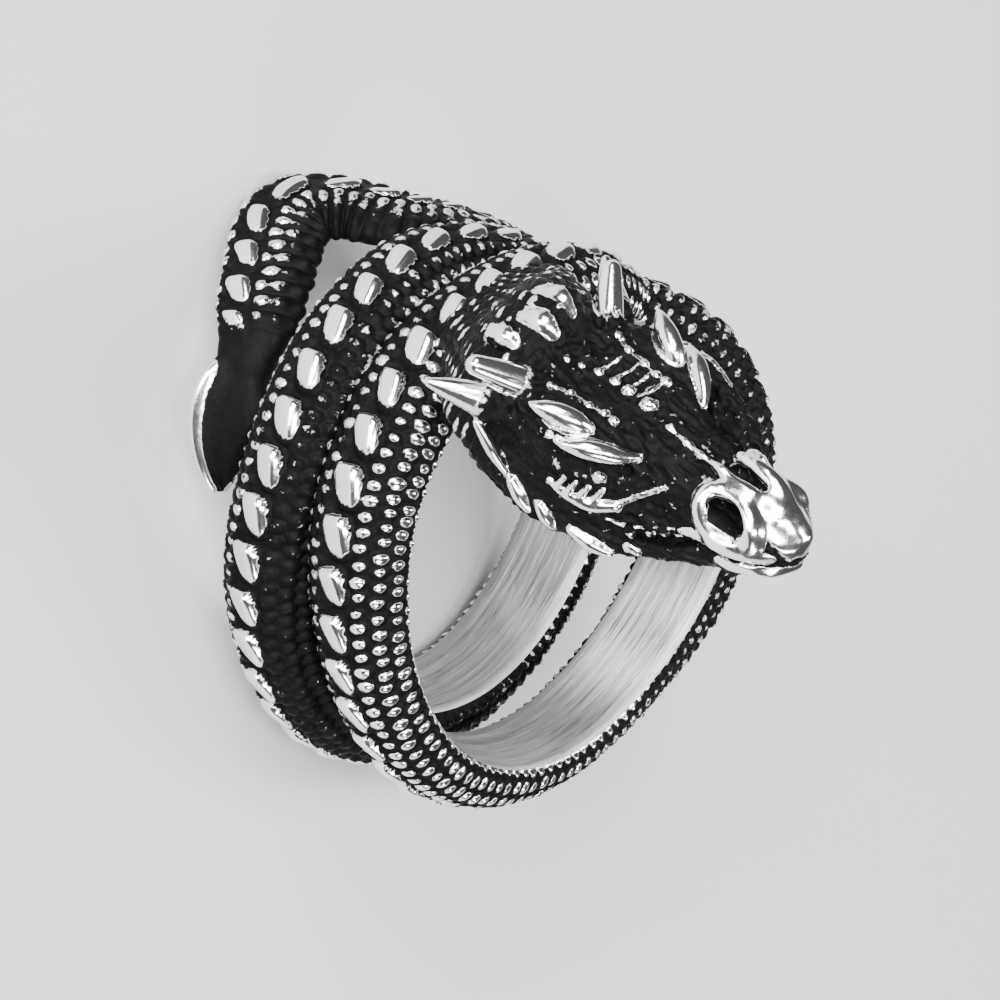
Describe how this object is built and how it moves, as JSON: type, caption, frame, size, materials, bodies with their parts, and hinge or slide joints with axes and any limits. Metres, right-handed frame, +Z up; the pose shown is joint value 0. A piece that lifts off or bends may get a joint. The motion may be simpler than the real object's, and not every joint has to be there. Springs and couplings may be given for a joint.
{
  "type": "dragon ring",
  "caption": "Cast metal finger ring shaped as a scaled dragon whose body winds round the finger, with a horned head and an arrow-tipped tail.",
  "frame": {"origin": "centre of the footprint, on the surface the ring lies on", "axes": "+Z up from that surface, -Y towards the side from which the head and the coils show"},
  "size_m": [0.0278, 0.0286, 0.029],
  "materials": {
    "cast_metal": "cast steel, blackened in the recesses, polished on the raised scales, brushed inside"
  },
  "bodies": {
    "root": {"dragon_ring": "cast_metal"}
  },
  "joints": []
}
